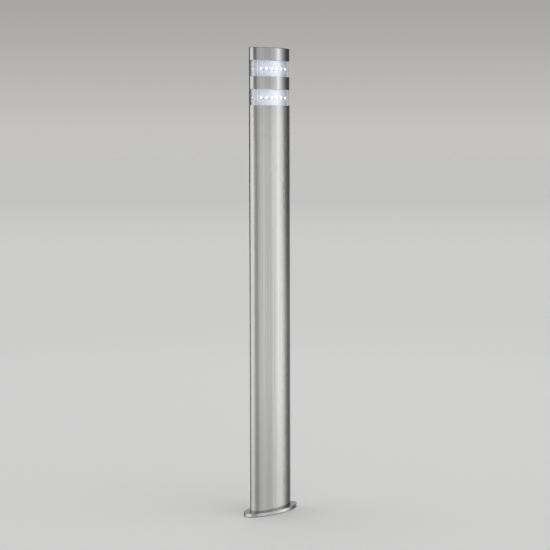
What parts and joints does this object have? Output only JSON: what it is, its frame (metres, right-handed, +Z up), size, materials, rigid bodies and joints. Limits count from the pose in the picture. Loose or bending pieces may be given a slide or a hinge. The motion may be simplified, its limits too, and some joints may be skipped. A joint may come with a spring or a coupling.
{
  "type": "bollard light",
  "caption": "Slim oval brushed-steel post light with two clear lit windows under a flat steel cap, on a thin oval base plate.",
  "frame": {"origin": "centre of the base's underside, on the ground", "axes": "+Z up along the post; X along the long axis of the oval section; front faces -Y, the locking screws are at the back, +Y"},
  "size_m": [0.146, 0.058, 0.9],
  "materials": {
    "black_rubber": "matt EPDM, very slightly grained",
    "polished_plate": "stainless steel, satin top face inside a rim polished bright",
    "zinc_plated_steel": "bright zinc plating",
    "galvanised_sheet": "galvanised sheet with faint spangle",
    "terminal_plastic": "off-white moulded nylon",
    "terminal_brass": "nickel-free turned brass",
    "earth_wire_insulation": "green wire insulation with a yellow stripe",
    "driver_case": "white moulded case, fine texture",
    "wire_insulation": "wire insulation, brown on one wire of each pair and blue on the other",
    "lead_sheath": "black rubber sheath",
    "connector_plastic": "black moulded nylon, finely textured",
    "stainless_fastener": "turned stainless steel",
    "brushed_post": "stainless steel with a long grain along the post",
    "brushed_trim": "stainless steel with the same upright grain",
    "cast_aluminium": "fine as-cast surface",
    "bright_steel_rod": "bright drawn rod",
    "clear_acrylic": "clear, polished, with faintly blue edges",
    "clear_seal": "translucent silicone",
    "anodised_core": "satin extruded aluminium",
    "white_reflector": "satin white sheet",
    "white_board": "white solder mask",
    "led_package": "white moulded LED body",
    "led_light": "lit LED face, cool white"
  },
  "bodies": {
    "base": {"base_gasket": "black_rubber", "base_plate": "polished_plate", "post_collar": "zinc_plated_steel", "cable_grommet": "black_rubber", "bracket_studs": "zinc_plated_steel", "gear_bracket": "galvanised_sheet", "bracket_washers": "zinc_plated_steel", "bracket_nuts": "zinc_plated_steel", "terminal_block": "terminal_plastic", "terminal_clamp_screws": "terminal_brass", "terminal_fixing_screws": "zinc_plated_steel", "earth_stud": "zinc_plated_steel", "earth_tag": "terminal_brass", "earth_nut": "zinc_plated_steel", "earth_wire": "earth_wire_insulation", "led_driver": "driver_case", "driver_screws": "zinc_plated_steel", "driver_input_wires": "wire_insulation", "driver_output_lead": "lead_sheath", "lower_connector": "connector_plastic"},
    "post": {"post_tube": "brushed_post", "upper_connector": "connector_plastic", "connector_nut": "connector_plastic", "head_lead": "lead_sheath", "head_plug": "cast_aluminium", "plug_grommet": "black_rubber", "tie_rods": "bright_steel_rod", "rod_washers": "zinc_plated_steel", "rod_nuts": "zinc_plated_steel", "post_seal": "clear_seal", "lower_lens": "clear_acrylic", "band_lower_seal": "clear_seal", "band_spacer": "cast_aluminium", "middle_band": "brushed_trim", "band_upper_seal": "clear_seal", "upper_lens": "clear_acrylic", "cap_seal": "clear_seal", "cap_spacer": "cast_aluminium", "top_cap": "brushed_trim", "cap_screws": "stainless_fastener", "cap_screw_seals": "black_rubber", "led_core": "anodised_core", "lower_reflector": "white_reflector", "upper_reflector": "white_reflector", "lower_led_board": "white_board", "upper_led_board": "white_board", "lower_led_packages": "led_package", "upper_led_packages": "led_package", "lower_led_faces": "led_light", "upper_led_faces": "led_light", "board_wires": "wire_insulation"},
    "left_lock_screw": {"left_lock_screw": "stainless_fastener"},
    "right_lock_screw": {"right_lock_screw": "stainless_fastener"}
  },
  "joints": [
    {"name": "post_lift", "type": "slide", "parent": "base", "child": "post", "axis": [0, 0, 1], "range_m": [0, 0.3]},
    {"name": "left_screw_out", "type": "slide", "parent": "base", "child": "left_lock_screw", "axis": [-0.2139, 0.9768, 0], "range_m": [0, 0.004]},
    {"name": "right_screw_out", "type": "slide", "parent": "base", "child": "right_lock_screw", "axis": [0.2139, 0.9768, 0], "range_m": [0, 0.004]}
  ]
}
